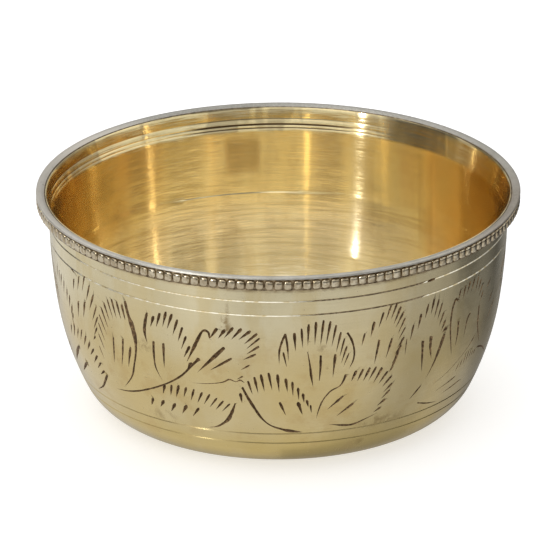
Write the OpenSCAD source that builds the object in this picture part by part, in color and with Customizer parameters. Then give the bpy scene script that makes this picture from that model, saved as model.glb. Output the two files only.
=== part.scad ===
// Brass bowl with a beaded rim: a turned shell, a beaded wire round its lip and a flat land ring on top.
// Millimetres, +Z up, origin at the middle of the flat base.

/* [Bowl] */
// Diameter over the rim, which is also the diameter over the beads
rim_d = 120; // [100:1:160]
// Height from the base to the land of the rim
bowl_h = 56.5; // [50:0.5:70]
// Thickness of the wall
wall_t = 1.5; // [1.2:0.1:2]
// Thickness of the floor
floor_t = 2; // [1.6:0.1:3]
// How far the rim stands out past the wall below it
overhang = 3.1; // [2.8:0.1:3.4]

/* [Wall curve] */
// Bow radius of the upper wall
upper_bow_r = 160; // [120:5:300]
// Slope of the wall where the upper bow ends, in degrees from upright
upper_bow_angle = 8.2; // [6:0.1:10]
// Bow radius of the lower wall
lower_bow_r = 74; // [60:1:90]
// Slope of the wall where the bottom corner starts, in degrees from upright
lower_bow_angle = 25.4; // [22:0.1:28]

/* [Land ring] */
// Width of the land, from the seam at its inner edge to its outer edge
land_w = 2.1; // [1.9:0.1:2.5]
// Thickness of the ring
land_t = 0.85; // [0.7:0.05:1]
// Bevel on its inner top edge
land_bevel = 0.45; // [0.1:0.05:0.5]
// Rounding of its outer top edge
land_round = 0.3; // [0.1:0.05:0.35]

/* [Beaded wire] */
// Number of beads round the rim
bead_count = 164; // [120:1:166]
// Width of one bead
bead_d = 1.9; // [1.6:0.1:2]
// Bevel at the top and bottom of a bead
bead_bevel = 0.5; // [0.2:0.05:0.7]
// Height of the strip that the beads stand on
strip_h = 2.5; // [2.1:0.1:2.6]
// Thickness of that strip
strip_t = 0.6; // [0.4:0.1:0.7]

/* [Turned lines] */
// Depth of each turned line
line_depth = 0.15; // [0.05:0.01:0.25]
// Height of the top outside line, down from the land
line_top = 7.45; // [6:0.05:9]
// Gap between the two top outside lines
line_top_gap = 3.65; // [2:0.05:5]
// Height of the lowest outside line, up from the base
line_low = 8.8; // [7:0.1:11]
// Gap between the two low outside lines
line_low_gap = 3; // [2:0.1:5]
// Depth of the step inside, where two turning passes meet
pass_step = 0.12; // [0.05:0.01:0.2]
// Height of that step, down from the land
pass_drop = 22.7; // [18:0.1:28]

/* [Hidden] */
$fn = 96;
eps = 0.01;
rim_r = rim_d / 2;

// Wall outside: straight neck, upper bow, lower bow and bottom corner, each tangent to the next
neck_r = rim_r - overhang;
neck_z = bowl_h - 4.5;
bow1_z = neck_z - upper_bow_r * sin(upper_bow_angle);
bow1_r = neck_r - upper_bow_r * (1 - cos(upper_bow_angle));
bow2_z = bow1_z - lower_bow_r * (sin(lower_bow_angle) - sin(upper_bow_angle));
bow2_r = bow1_r - lower_bow_r * (cos(upper_bow_angle) - cos(lower_bow_angle));
corner_r = bow2_z / (1 - sin(lower_bow_angle));
base_r = bow2_r - corner_r * cos(lower_bow_angle);

// Lip of the shell: the land ring sits on its seat round a spigot, the beaded wire round its collar
seat_z = bowl_h - land_t;
spigot_r = rim_r - land_w;
spigot_z = bowl_h - land_bevel;
spigot_w = 0.55;
collar_r = rim_r - 1.2;
ledge_z = seat_z - strip_h;
ledge_t = 0.25;
ledge_r = collar_r + strip_t - 0.1;
cove_z = ledge_z - ledge_t - 0.7;

// Flare inside the lip: a cone from the spigot down to flare_z, where the wall is flare_t thick
flare_z = bowl_h - 6.3;
flare_t = 1;
bead_r = rim_r - bead_d / 2;

inner_line_drops = [3.3, 4.7, 5.6];
inner_line_depth = 0.12;
base_line_radii = [12, 30];
centre_mark_r = 1.2;
centre_mark_depth = 0.5;

// Radius of the outside wall at height z
function wall_r(z) =
    z > neck_z ? neck_r :
    z > bow1_z ? arc_r(z, neck_z, neck_r - upper_bow_r, upper_bow_r) :
    z > bow2_z ? arc_r(z, bow1_z + lower_bow_r * sin(upper_bow_angle),
                       bow1_r - lower_bow_r * cos(upper_bow_angle), lower_bow_r) :
    arc_r(z, corner_r, base_r, corner_r);

// Radius of the flare at height z
function flare_r(z) =
    let (low_r = wall_r(flare_z) - flare_t, high_r = spigot_r - spigot_w)
    low_r + (high_r - low_r) * (z - flare_z) / (spigot_z - flare_z);

// Radius, at height z, of an arc centred at radius centre_r and height centre_z
function arc_r(z, centre_z, centre_r, r) = centre_r + sqrt(r * r - (z - centre_z) * (z - centre_z));

// Point on an arc, at a slope given in degrees from upright, moved in by t
function arc_point(centre_r, centre_z, r, slope, t) =
    [centre_r + (r - t) * cos(slope), centre_z - (r - t) * sin(slope)];

// Wall outline from the neck down to the base, moved in by t
function wall_outline(t) = concat(
    [for (i = [0:12])
        arc_point(neck_r - upper_bow_r, neck_z, upper_bow_r, upper_bow_angle * i / 12, t)],
    [for (i = [1:12])
        arc_point(bow1_r - lower_bow_r * cos(upper_bow_angle), bow1_z + lower_bow_r * sin(upper_bow_angle),
                  lower_bow_r, upper_bow_angle + (lower_bow_angle - upper_bow_angle) * i / 12, t)],
    [for (i = [1:20])
        arc_point(base_r, corner_r, corner_r, lower_bow_angle + (90 - lower_bow_angle) * i / 20, t)]
);

// V of a turned line, cut to its depth at a point of the half section
module line_cut(r, z, depth) {
    translate([r, z])
        rotate(45)
            square(depth * sqrt(2), center = true);
}

module outside_section() {
    polygon(concat(
        [[0, 0], [0, spigot_z], [spigot_r, spigot_z], [spigot_r, seat_z], [collar_r, seat_z]],
        [[collar_r, ledge_z], [ledge_r, ledge_z], [ledge_r, ledge_z - ledge_t], [neck_r, cove_z]],
        wall_outline(0)
    ));
}

module hollow_section() {
    intersection() {
        polygon(concat(
            [[0, 0], [0, bowl_h + 1], [neck_r - wall_t, bowl_h + 1]],
            wall_outline(wall_t)
        ));
        translate([0, floor_t])
            square([rim_r, bowl_h]);
    }
}

// Upper pass of the lathe inside the wall, which cuts a little deeper than the lower pass
module upper_pass_section() {
    step_z = bowl_h - pass_drop;
    polygon([
        [0, step_z],
        [wall_r(step_z) - wall_t + pass_step, step_z],
        [flare_r(flare_z), flare_z],
        [0, flare_z]
    ]);
}

module flare_section() {
    polygon([
        [0, flare_z - eps],
        [flare_r(flare_z), flare_z - eps],
        [flare_r(flare_z), flare_z],
        [flare_r(spigot_z), spigot_z],
        [flare_r(spigot_z), bowl_h + 1],
        [0, bowl_h + 1]
    ]);
}

module shell_section() {
    difference() {
        outside_section();
        hollow_section();
        upper_pass_section();
        flare_section();
        for (z = [bowl_h - line_top, bowl_h - line_top - line_top_gap, line_low + line_low_gap, line_low])
            line_cut(wall_r(z), z, line_depth);
        for (drop = inner_line_drops)
            line_cut(flare_r(bowl_h - drop), bowl_h - drop, inner_line_depth);
        for (r = base_line_radii)
            line_cut(r, 0, line_depth);
    }
}

module bowl_shell() {
    color([0.79, 0.72, 0.5])
        difference() {
            rotate_extrude($fn = 180)
                shell_section();
            translate([0, 0, -eps])
                cylinder(h = centre_mark_depth + eps, r1 = centre_mark_r, r2 = 0);
        }
}

// The strip and its beads seen from above, each bead a round lobe
module bead_plan() {
    difference() {
        union() {
            circle(collar_r + strip_t, $fn = 180);
            for (i = [0:bead_count - 1])
                rotate(i * 360 / bead_count)
                    translate([bead_r, 0])
                        rotate(180)
                            circle(d = bead_d, $fn = 24);
        }
        circle(collar_r, $fn = 180);
    }
}

// Half section of the band that the beads are cut from, bevelled at its outer edges
module bead_band_section() {
    band_r = rim_r + eps;
    polygon([
        [collar_r - 1, ledge_z],
        [band_r - bead_bevel, ledge_z],
        [band_r, ledge_z + bead_bevel],
        [band_r, seat_z - bead_bevel],
        [band_r - bead_bevel, seat_z],
        [collar_r - 1, seat_z]
    ]);
}

module bead_wire() {
    color([0.66, 0.58, 0.4])
        intersection() {
            translate([0, 0, ledge_z])
                linear_extrude(strip_h)
                    bead_plan();
            rotate_extrude($fn = 180)
                bead_band_section();
        }
}

module land_section() {
    difference() {
        translate([spigot_r, seat_z])
            square([land_w, land_t]);
        translate([spigot_r, bowl_h])
            rotate(45)
                square(land_bevel * sqrt(2), center = true);
        difference() {
            translate([rim_r - land_round, bowl_h - land_round])
                square(land_round + eps);
            translate([rim_r - land_round, bowl_h - land_round])
                circle(land_round, $fn = 32);
        }
    }
}

module land_ring() {
    color([0.72, 0.72, 0.69])
        rotate_extrude($fn = 180)
            land_section();
}

bowl_shell();
bead_wire();
land_ring();
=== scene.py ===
"""Looks of an engraved brass bowl with a beaded rim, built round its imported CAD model.

Shapes are worked out in millimetres in the row frame (+Z up, origin at the middle of the base) and turned
into metres when a mesh is made. Azimuths are in degrees from the side that faces the camera, -Y, and grow
towards +X. Places on the wall are given as (azimuth, millimetres down the wall from the neck).
"""
import random
from math import asin, atan2, copysign, cos, hypot, pi, radians, sin

import bmesh
import bpy
import numpy as np
from mathutils import Matrix, Vector, noise
from mathutils.geometry import delaunay_2d_cdt


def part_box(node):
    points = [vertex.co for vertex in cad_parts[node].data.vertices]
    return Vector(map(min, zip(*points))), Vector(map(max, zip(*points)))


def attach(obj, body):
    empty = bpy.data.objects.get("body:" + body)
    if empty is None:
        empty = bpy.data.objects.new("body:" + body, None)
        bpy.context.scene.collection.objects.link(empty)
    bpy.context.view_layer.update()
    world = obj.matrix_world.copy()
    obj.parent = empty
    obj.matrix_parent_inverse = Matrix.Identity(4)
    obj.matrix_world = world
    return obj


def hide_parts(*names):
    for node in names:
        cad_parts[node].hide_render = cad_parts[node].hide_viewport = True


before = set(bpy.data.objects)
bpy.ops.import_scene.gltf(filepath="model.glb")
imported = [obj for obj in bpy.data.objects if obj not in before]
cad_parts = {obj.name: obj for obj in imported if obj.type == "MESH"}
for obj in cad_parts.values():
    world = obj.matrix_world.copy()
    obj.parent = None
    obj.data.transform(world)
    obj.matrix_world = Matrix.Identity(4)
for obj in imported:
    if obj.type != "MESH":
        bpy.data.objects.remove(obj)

MM = 0.001
SCENE = bpy.context.scene
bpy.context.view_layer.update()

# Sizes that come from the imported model
LAND_LOW, LAND_HIGH = (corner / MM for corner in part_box("land_ring"))
RIM_R = round(LAND_HIGH.x, 3)
RIM_Z = LAND_HIGH.z
SEAT_Z = LAND_LOW.z
LEDGE_Z = (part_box("bead_wire")[0] / MM).z

# Wall curve, the same arcs as in the CAD model: (radius, slope from upright where the arc ends)
NECK_R = RIM_R - 3.1
NECK_Z = RIM_Z - 4.5
UPPER_BOW = (160.0, radians(8.2))
LOWER_BOW = (74.0, radians(25.4))
WALL_T = 1.5
FLOOR_T = 2.0

# Turned lines: millimetres down from the land outside and inside, and up from the base
OUTER_DROPS = (7.45, 11.1)
OUTER_RISES = (11.8, 8.8)
INNER_LINES = ((3.3, 0.3, 0.05), (4.7, 0.5, 0.11), (5.6, 0.32, 0.07))  # (drop, width, depth)
FLARE_DROP = 6.3
FLARE_T = 1.0
BASE_LINE_RADII = (30.0, 12.0)
CENTRE_MARK_R, CENTRE_MARK_DEPTH = 1.2, 0.5
PASS_DROP = 22.7

# Mesh density
COLUMNS = 240
ROW_STEP = 1.9


# --- Wall curve ---

def around(r, a, z):
    """Point at radius r, azimuth a in radians and height z."""
    return (r * sin(a), -r * cos(a), z)


def bow_ends():
    """Heights where the upper and the lower bow end, and the radius and centre of the bottom corner."""
    upper_r, upper_slope = UPPER_BOW
    lower_r, lower_slope = LOWER_BOW
    z1 = NECK_Z - upper_r * sin(upper_slope)
    z2 = z1 - lower_r * (sin(lower_slope) - sin(upper_slope))
    corner_r = z2 / (1 - sin(lower_slope))
    r1 = NECK_R - upper_r * (1 - cos(upper_slope))
    r2 = r1 - lower_r * (cos(upper_slope) - cos(lower_slope))
    return z1, z2, corner_r, r2 - corner_r * cos(lower_slope)


UPPER_END_Z, LOWER_END_Z, CORNER_R, BASE_R = bow_ends()
ARCS = (UPPER_BOW, LOWER_BOW, (CORNER_R, pi / 2))
BAND_LENGTH = UPPER_BOW[0] * UPPER_BOW[1] + LOWER_BOW[0] * (LOWER_BOW[1] - UPPER_BOW[1])
CORNER_LENGTH = CORNER_R * (pi / 2 - LOWER_BOW[1])


def wall_point(down):
    """Radius, height and slope of the outside wall at a distance down the wall from the neck."""
    r, z, slope = NECK_R, NECK_Z, 0.0
    for arc_r, end in ARCS:
        turned = min(slope + down / arc_r, end)
        r -= arc_r * (cos(slope) - cos(turned))
        z -= arc_r * (sin(turned) - sin(slope))
        down -= arc_r * (turned - slope)
        slope = turned
        if down <= 1e-9:
            break
    return r, z, slope


def wall_slope(z):
    """Slope of the outside wall from upright at height z."""
    if z > UPPER_END_Z:
        return asin(max(0.0, NECK_Z - z) / UPPER_BOW[0])
    if z > LOWER_END_Z:
        centre = UPPER_END_Z + LOWER_BOW[0] * sin(UPPER_BOW[1])
        return asin((centre - z) / LOWER_BOW[0])
    return asin(min(1.0, (CORNER_R - z) / CORNER_R))


def down_to(z):
    """Distance down the wall from the neck to height z."""
    slope = wall_slope(z)
    if z > UPPER_END_Z:
        return UPPER_BOW[0] * slope
    return UPPER_BOW[0] * UPPER_BOW[1] + LOWER_BOW[0] * (slope - UPPER_BOW[1])


def inner_radius(z):
    """Radius of the inside wall at height z, from the flare down to where the floor begins."""
    upper_r, upper_slope = UPPER_BOW
    lower_r, lower_slope = LOWER_BOW
    lower_centre_r = wall_point(upper_r * upper_slope)[0] - lower_r * cos(upper_slope)
    for arc_r, end, centre_r, centre_z in (
        (upper_r, upper_slope, NECK_R - upper_r, NECK_Z),
        (lower_r, lower_slope, lower_centre_r, UPPER_END_Z + lower_r * sin(upper_slope)),
        (CORNER_R, pi, BASE_R, CORNER_R),
    ):
        inner_r = arc_r - WALL_T
        slope = asin(max(-1.0, min(1.0, (centre_z - z) / inner_r)))
        if slope <= end:
            break
    return centre_r + inner_r * cos(max(0.0, slope))


# --- Engraving ---

ENGRAVE_R = 56.0  # radius at which the unrolled wall has its true width
LINE_W, LINE_DEPTH = 0.42, 0.15
CUT_DEPTH_RATIO = 0.55
THIN = 0.02  # a cut narrower than this on each side comes to a point
WAVER = (1.02, 1.42)  # how much wider than drawn the hand made a cut, from place to place
SEAM_CLEARANCE = 0.6  # how far the seam of the band keeps from every cut, where it can
GRID_CLEARANCE = 0.3  # grid points nearer than this to a cut are left out


def curve_through(points, t):
    """Point at t, from 0 to 1, on a smooth curve through evenly spaced points."""
    if len(points) == 2:
        return tuple(a + (b - a) * t for a, b in zip(*points))
    place = t * (len(points) - 1)
    i = min(int(place), len(points) - 2)
    f = place - i
    p1, p2 = points[i], points[i + 1]
    p0 = points[i - 1] if i else tuple(2 * a - b for a, b in zip(p1, p2))
    p3 = points[i + 2] if i + 2 < len(points) else tuple(2 * b - a for a, b in zip(p1, p2))
    return tuple(
        0.5 * (2 * b + (c - a) * f + (2 * a - 5 * b + 4 * c - d) * f * f + (3 * b - a - 3 * c + d) * f ** 3)
        for a, b, c, d in zip(p0, p1, p2, p3)
    )


def comb(count, heads, tails, width=(0.5, 0.5)):
    """A row of wedge cuts, from a curve through their heads to a curve through their tails."""
    return count, heads, tails, width


def wedge(head, tail, width=0.5):
    """One wedge cut, thick at its head."""
    return comb(1, [head, head], [tail, tail], (width, width))


def line(points, widths):
    """A long cut along a curve, with its width at evenly spaced places."""
    return points, widths


# Leaves of the front, left to right. Each has combs round its edge, veins and a swelling edge cut.
LEAVES = {}
LEAVES["left_edge_leaf"] = [
    comb(9, [(-74.4, 10.5), (-71, 11.5), (-67.3, 13.8), (-65, 17.3), (-65.5, 22.5)],
         [(-75.4, 14), (-72.2, 15.2), (-68.3, 17.2), (-66.2, 20.3), (-66.3, 25)], (0.45, 0.6)),
    line([(-63.4, 6.9), (-62.5, 7.0), (-61.6, 7.3)], (0.15, 0.45, 0.3)),
]
LEAVES["upper_leaf_1"] = [
    comb(9, [(-62.1, 9), (-56.5, 6.8), (-52.9, 10.3), (-51.9, 16.1), (-54, 21.8)],
         [(-62.9, 12.3), (-58, 11.5), (-55.2, 15.3), (-54.2, 20), (-55.2, 23.5)], (0.5, 0.4)),
    wedge((-60.6, 14.5), (-61.9, 19.5), 0.6),
    wedge((-57.3, 14), (-58.8, 18), 0.6),
]
LEAVES["upper_leaf_2"] = [
    comb(10, [(-52.7, 24), (-51, 15), (-47.3, 9.6), (-42.2, 9.9)],
         [(-51.4, 27.2), (-48.8, 20), (-45.7, 14.3), (-41.2, 14)], (0.28, 0.55)),
    line([(-41, 8.5), (-40.3, 11.5), (-39.2, 14.5), (-38.5, 18), (-38.7, 21.5), (-39.7, 25),
          (-41.4, 29.3), (-45.5, 33.8)],
         (0.7, 0.75, 1.3, 0.9, 0.5, 0.42, 0.38, 0)),
    line([(-46.3, 19.8), (-46.7, 23.5), (-47.3, 27.2)], (0.5, 0.42, 0)),
    line([(-42.8, 19.3), (-43.5, 23.4), (-44.6, 27.5)], (0.6, 0.42, 0)),
    wedge((-40.4, 20.8), (-42.2, 27), 0.55),
]
LEAVES["lower_leaf_1"] = [
    comb(10, [(-67.8, 23.8), (-60.9, 22.8), (-56, 26.1), (-53, 31.4)],
         [(-69, 27), (-62.7, 26.5), (-58.3, 29), (-55.2, 33.5)], (0.5, 0.5)),
    line([(-52.4, 32.8), (-54.5, 35.3), (-56.5, 37.3), (-60.9, 39.8)], (0.6, 0.6, 0.4, 0)),
    wedge((-65.7, 29), (-72.9, 35.8), 0.9),
    wedge((-62.9, 33), (-68.3, 37), 0.6),
]
LEAVES["long_stem"] = [
    line([(-49.4, 35.4), (-44.5, 34.6), (-40, 33.2), (-36.5, 31.7), (-33.3, 30.2), (-29, 27.8), (-25.2, 25),
          (-22.3, 21.8), (-20.3, 19.7)],
         (0, 0.35, 0.42, 0.36, 0.34, 0.38, 0.42, 0.55, 0.75)),
]
LEAVES["upper_leaf_3"] = [
    line([(-34.2, 9.8), (-34.9, 12.4), (-35.3, 15.2), (-34.7, 18.3)], (0.45, 0.8, 0.6, 0)),
    comb(8, [(-32.3, 10.2), (-28.1, 8.5), (-24.7, 11.2), (-22.6, 16.5)],
         [(-33.2, 13.2), (-29.5, 12.8), (-26.2, 15), (-24.4, 19.7)], (0.6, 0.5)),
    line([(-32.8, 17.3), (-33, 21), (-32.8, 24.5), (-31.2, 28)], (0.65, 0.5, 0.32, 0)),
    wedge((-29.9, 17.2), (-30.4, 24), 0.6),
]
LEAVES["upper_leaf_4"] = [
    line([(-17.2, 13.6), (-17.5, 12), (-18.9, 11.8), (-20.3, 14.3), (-21.7, 17.2), (-23.7, 21.2)],
         (0.3, 0.55, 0.5, 0.72, 0.62, 0)),
    wedge((-22.4, 21.3), (-23.6, 23.2), 0.65),
    comb(11, [(-15.3, 11), (-10.2, 10.3), (-5.3, 11.4), (-5.2, 15.9), (-9.1, 23.2)],
         [(-17.1, 13.8), (-12.5, 13.4), (-8.5, 14.3), (-8.5, 18), (-10.6, 24.3)], (0.6, 0.36)),
    wedge((-13.6, 15.9), (-21, 23.3), 0.75),
    wedge((-11.8, 18.4), (-17.7, 22.8), 0.5),
    line([(-8.6, 25.3), (-9.7, 24.5), (-11, 25), (-12.6, 24.5), (-14.4, 25.5), (-18.5, 26.4),
          (-23.1, 26.8)],
         (0, 0.35, 0.15, 0.42, 0.25, 0.16, 0)),
]
LEAVES["lower_leaf_2"] = [
    comb(10, [(-30.8, 29), (-24.5, 28.5), (-18.1, 29.6), (-12.9, 32)],
         [(-31.6, 32.2), (-25.7, 31.9), (-20, 32.9), (-15.2, 34.7)], (0.55, 0.42)),
    line([(-11.4, 31.5), (-12.3, 33.9), (-13.6, 36.6), (-15.2, 38.2), (-17.3, 39.6), (-20.3, 40.3)],
         (0.3, 0.6, 0.75, 0.5, 0.3, 0)),
    comb(5, [(-35.5, 34.2), (-21.7, 34.3)], [(-36.5, 36.4), (-24, 37.2)], (0.6, 0.6)),
]
LEAVES["lower_leaf_3"] = [
    comb(11, [(-7.8, 24.5), (-3.6, 22.3), (1.7, 23.7), (5.5, 27.5), (8.2, 32.2)],
         [(-6.6, 28.7), (-2.8, 27.6), (2.1, 28.1), (5.7, 30.5), (8.7, 34)], (0.5, 0.45)),
    line([(-9.3, 26.6), (-8.1, 29.3), (-6.3, 32.8), (-4.5, 35.9), (-2.2, 38.1), (1, 39.4), (3.2, 40),
          (6.4, 40.5)],
         (0.5, 0.55, 0.6, 0.42, 0.4, 0.5, 0.95, 0)),
    wedge((-9.9, 28.4), (-9.4, 31.4), 0.6),
    wedge((0.2, 31), (1.8, 34.8), 0.5),
    wedge((4.9, 31.1), (6.4, 35), 0.6),
]
LEAVES["upper_leaf_5"] = [
    line([(1.6, 11.5), (0.7, 13.8), (0.1, 16.4), (0.1, 20)], (0.5, 0.42, 0.4, 0)),
    line([(1.6, 11.5), (2.1, 14.6), (2.4, 19)], (0.4, 0.42, 0)),
    wedge((1.1, 16.6), (1.8, 20.6), 0.4),
    comb(11, [(3.8, 11.4), (8.2, 8.7), (12.7, 8.6), (15.9, 12.9), (17.6, 18)],
         [(4.2, 16.5), (8, 14.9), (11.7, 15.3), (14.7, 17.6), (16.3, 21.9)], (0.52, 0.34)),
    line([(17.1, 12.3), (18.3, 14.6), (19, 17.5), (18.8, 20), (17.7, 22.4)], (0.4, 0.48, 0.36, 0.34, 0)),
    line([(7.1, 16.5), (7.7, 20), (8.1, 23.2), (8.7, 26.6)], (0.12, 0.34, 0.5, 0)),
    line([(10.4, 17.8), (10.4, 21.4), (10.2, 24.8)], (0.55, 0.45, 0.12)),
    wedge((14.1, 17.6), (13.5, 24.6), 0.5),
]
LEAVES["upper_leaf_6"] = [
    comb(13, [(21.6, 12.9), (28.6, 6.8), (32.2, 9.2), (32.7, 16.1), (30, 23.8)],
         [(20.8, 16.6), (27.1, 10.8), (30.1, 13.3), (30.8, 18.8), (28.9, 25.2)], (0.5, 0.4)),
    wedge((33.6, 16.9), (33.5, 21.8), 0.32),
    wedge((25.6, 15.8), (24.5, 22.3), 0.6),
    wedge((29.2, 15.8), (27.6, 21.2), 0.55),
    line([(32.1, 17.4), (31.2, 20), (30.3, 22.6), (29.2, 25.2)], (0.3, 0.55, 0.6, 0)),
]
LEAVES["lower_leaf_4"] = [
    line([(17.1, 23.9), (15.8, 26.7), (13.4, 28), (11.5, 30.4), (10.5, 33.2), (9.9, 36.3)],
         (0.6, 0.3, 0.32, 0.3, 0.28, 0)),
    comb(11, [(19.8, 23.2), (25.8, 23), (30.4, 27.9), (28.1, 35.7)],
         [(18.6, 25.7), (23.7, 26.8), (27.9, 30.2), (26.1, 36.8)], (0.55, 0.48)),
    line([(13.3, 38.4), (17.4, 39.3), (20.5, 39.5), (24.1, 38.3), (27.7, 37)], (0, 0.5, 0.5, 0.3, 0)),
    wedge((16.7, 29.9), (12.9, 33.5), 0.6),
    wedge((19.8, 32.6), (15.5, 35.8), 0.6),
]
LEAVES["upper_leaf_7"] = [
    comb(8, [(35.4, 13.8), (40.5, 8.8), (44.2, 9.9), (46.1, 15.4)],
         [(34.8, 17.7), (39.6, 12.7), (42.8, 14), (44.7, 18.2)], (0.5, 0.5)),
    wedge((47.1, 17.5), (45.3, 18.7), 0.8),
    line([(46.3, 19.2), (44.9, 23), (43.4, 26.8), (41.4, 30.6)], (0.8, 0.8, 0.42, 0)),
    wedge((40.3, 32.3), (37.2, 35.4), 0.4),
    line([(38.8, 19), (39.1, 23.5), (39.6, 28)], (0.7, 0.5, 0)),
    line([(41.5, 18.5), (41.6, 21.6), (42.4, 24.9)], (0.85, 0.6, 0)),
]
LEAVES["upper_leaf_8"] = [
    line([(51, 11.6), (49.6, 10.9), (48.5, 13.6), (48.4, 18), (49.3, 22.5), (50.4, 26.6)],
         (0.4, 0.6, 0.55, 0.42, 0.34, 0)),
    comb(8, [(51.4, 8.9), (56.2, 7.8), (60.6, 8.8), (62.7, 13)],
         [(50.7, 12), (54.9, 11), (59.3, 12), (61.1, 15.5)], (0.45, 0.5)),
    line([(61.1, 16.5), (61.6, 21.5), (63.1, 25), (64.9, 28)], (0.5, 0.45, 0.3, 0)),
    line([(51.6, 17.5), (51.7, 21), (51.4, 24.6)], (0.6, 0.42, 0)),
    line([(56.8, 16.8), (55.5, 18.2), (54.8, 23.2)], (0.5, 0.45, 0)),
]
LEAVES["right_row"] = [
    line([(44.2, 33.3), (48.8, 31.8), (53.4, 29.5), (58, 26.8), (60.6, 24.8)],
         (0, 0.14, 0.14, 0.16, 0.4)),
    comb(7, [(54.9, 30.3), (59.1, 28.9), (63.1, 29.3)],
         [(54.3, 32.8), (58.8, 31), (62.6, 30.8)], (0.3, 0.35)),
    line([(64.6, 29), (68.7, 30.5), (71.8, 32.5), (73.9, 34.5)], (0.45, 0.4, 0.3, 0)),
    wedge((54.9, 34.2), (46.7, 36.1), 0.3),
    wedge((58.3, 36.5), (49.8, 37.8), 0.35),
    line([(40.9, 37.6), (45.2, 39), (49.3, 39.8)], (0.3, 0.3, 0)),
]
LEAVES["right_edge_leaf"] = [
    wedge((66.7, 11.3), (64.6, 12.8), 0.5),
    wedge((69.2, 15.8), (66.9, 18), 0.5),
    wedge((71.8, 19), (66.7, 23.5), 0.4),
]
LEAVES["nick"] = [
    line([(39.1, 3.2), (40, 3.0), (41.4, 2.95), (42, 3.0)], (0, 0.5, 0.4, 0)),
]

# Where each leaf is engraved: the front once, and again half a turn on, with four more leaves at each side
FRONT = [(name, 0) for name in LEAVES]
BACK = [(name, 180) for name in LEAVES if name != "nick"]
FILLERS = (("upper_leaf_3", 113), ("upper_leaf_5", 84), ("lower_leaf_2", 116), ("lower_leaf_3", 90))
SIDES = [(name, turn + side) for side in (0, 180) for name, turn in FILLERS]


def stroke_outline(points, widths, rng):
    """Centreline and half widths of one cut, in unrolled millimetres, with a hand's unsteadiness."""
    steps = min(24, 3 * len(points))
    centre, half = [], []
    for i in range(steps + 1):
        t = i / steps
        azimuth, down = curve_through(points, t)
        width = curve_through([(w,) for w in widths], t)[0]
        centre.append((radians(azimuth) * ENGRAVE_R, down))
        half.append(max(0.0, width) / 2 * rng.uniform(*WAVER))
    return np.array(centre), np.array(half)


def wedge_widths(width):
    """Width of a wedge cut along its length: blunt at the head, a point at the tail."""
    return (0.85 * width, 1.15 * width, 1.05 * width, 0.82 * width, 0.58 * width, 0.32 * width, 0)


def engraved_strokes():
    """Every cut of the engraving as (centreline, half widths)."""
    rng = random.Random(7)
    strokes = []
    for name, turn in FRONT + BACK + SIDES:
        for item in LEAVES[name]:
            if len(item) == 2:
                points, widths = item
                strokes.append(stroke_outline([(a + turn, d) for a, d in points], widths, rng))
                continue
            count, heads, tails, (first, last) = item
            for i in range(count):
                t = i / max(1, count - 1)
                head, tail = curve_through(heads, t), curve_through(tails, t)
                width = (first + (last - first) * t) * rng.uniform(0.85, 1.15)
                head = (head[0] + turn, head[1] + rng.uniform(-0.25, 0.25))
                tail = (tail[0] + turn + rng.uniform(-0.2, 0.2), tail[1] + rng.uniform(-0.35, 0.35))
                strokes.append(stroke_outline([head, tail], wedge_widths(width), rng))
    return strokes


def stretch(down):
    """True width over unrolled width at a distance down the wall."""
    return wall_point(down)[0] / ENGRAVE_R


def stroke_sides(centre, half):
    """Closed outline of a cut: down one side and back up the other, one point at each pointed end."""
    k = np.array([stretch(d) for d in centre[:, 1]])
    along = np.gradient(centre, axis=0)
    true = np.stack([along[:, 0] * k, along[:, 1]], 1)
    true /= np.linalg.norm(true, axis=1)[:, None]
    offset = np.stack([-true[:, 1] / k, true[:, 0]], 1) * half[:, None]
    left, right = centre + offset, centre - offset
    back = right[::-1][half[::-1] >= THIN]
    outline = np.concatenate([left, back])
    x, y = outline.T
    turns_left = np.sum(x * np.roll(y, -1) - np.roll(x, -1) * y) > 0
    return [tuple(p) for p in (outline if turns_left else outline[::-1])]


def cut_depths(points, strokes):
    """Depth of the engraving at each unrolled point: a V across every cut."""
    depth = np.zeros(len(points))
    for centre, half in strokes:
        reach = half.max() * 1.5 + 0.1
        low, high = centre.min(0) - reach, centre.max(0) + reach
        near = np.nonzero(np.all((points > low) & (points < high), axis=1))[0]
        if not len(near):
            continue
        k = stretch(centre[:, 1].mean())
        scale = np.array([k, 1.0])
        a, b = centre[:-1] * scale, centre[1:] * scale
        p = points[near] * scale
        ab = b - a
        t = np.einsum("pij,ij->pi", p[:, None] - a[None], ab) / (ab ** 2).sum(1)
        t = np.clip(t, 0, 1)
        foot = a[None] + t[..., None] * ab[None]
        dist = np.linalg.norm(p[:, None] - foot, axis=2)
        wide = half[:-1][None] * (1 - t) + half[1:][None] * t
        v = np.where(wide > THIN, (1 - dist / np.maximum(wide, 1e-6)) * wide * 2 * CUT_DEPTH_RATIO, 0)
        depth[near] = np.maximum(depth[near], np.clip(v, 0, 0.45).max(1))
    return depth


def line_places():
    """Distances down the wall of the four turned lines."""
    return [down_to(RIM_Z - d) for d in OUTER_DROPS] + [down_to(z) for z in OUTER_RISES]


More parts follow.
